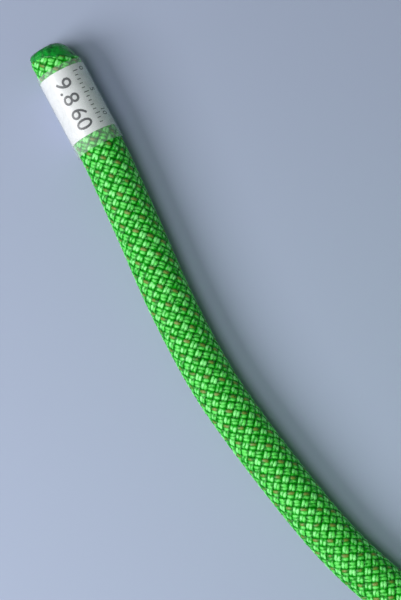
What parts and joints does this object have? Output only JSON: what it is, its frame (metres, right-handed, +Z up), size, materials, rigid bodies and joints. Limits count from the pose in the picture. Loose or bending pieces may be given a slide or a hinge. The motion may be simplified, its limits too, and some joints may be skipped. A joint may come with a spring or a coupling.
{
  "type": "dynamic climbing rope",
  "caption": "Braided climbing rope with sealed, banded ends; one end lies out, the rest is wound in a round coil held by ties.",
  "frame": {"origin": "on the coil's axis, at the height of the floor that the rope lies on", "axes": "+Z up along the coil's axis; +X from the free end towards the coil; the free end meets the coil's outer turn on the -Y side"},
  "size_m": [0.3208, 0.2211, 0.1673],
  "materials": {
    "sheath": "braided polyamide, glossy yarns with a sparse brown tracer",
    "core_yarn": "undyed twisted polyamide yarn",
    "marker_thread": "dyed thread",
    "fused_sheath": "melted and set polyamide, smooth and dark",
    "band": "white printed film with plain numerals",
    "film": "clear heat-shrunk film",
    "webbing": "black hook-and-loop webbing"
  },
  "bodies": {
    "root": {"sheath_lead": "sheath", "core_strand_1": "core_yarn", "core_strand_2": "core_yarn", "core_strand_3": "core_yarn", "core_strand_4": "core_yarn", "core_strand_5": "core_yarn", "core_strand_6": "core_yarn", "core_strand_7": "core_yarn", "core_strand_8": "core_yarn", "core_strand_9": "core_yarn", "core_strand_10": "core_yarn", "core_strand_11": "core_yarn", "core_strand_12": "core_yarn", "core_marker": "marker_thread", "fused_tip_free": "fused_sheath", "label_band_free": "band", "film_sleeve_free": "film", "rope_coil": "sheath", "sheath_tail": "sheath", "core_tail": "core_yarn", "fused_tip_far": "fused_sheath", "label_band_far": "band", "film_sleeve_far": "film", "tie_1": "webbing", "tie_2": "webbing", "tie_3": "webbing"}
  },
  "joints": []
}
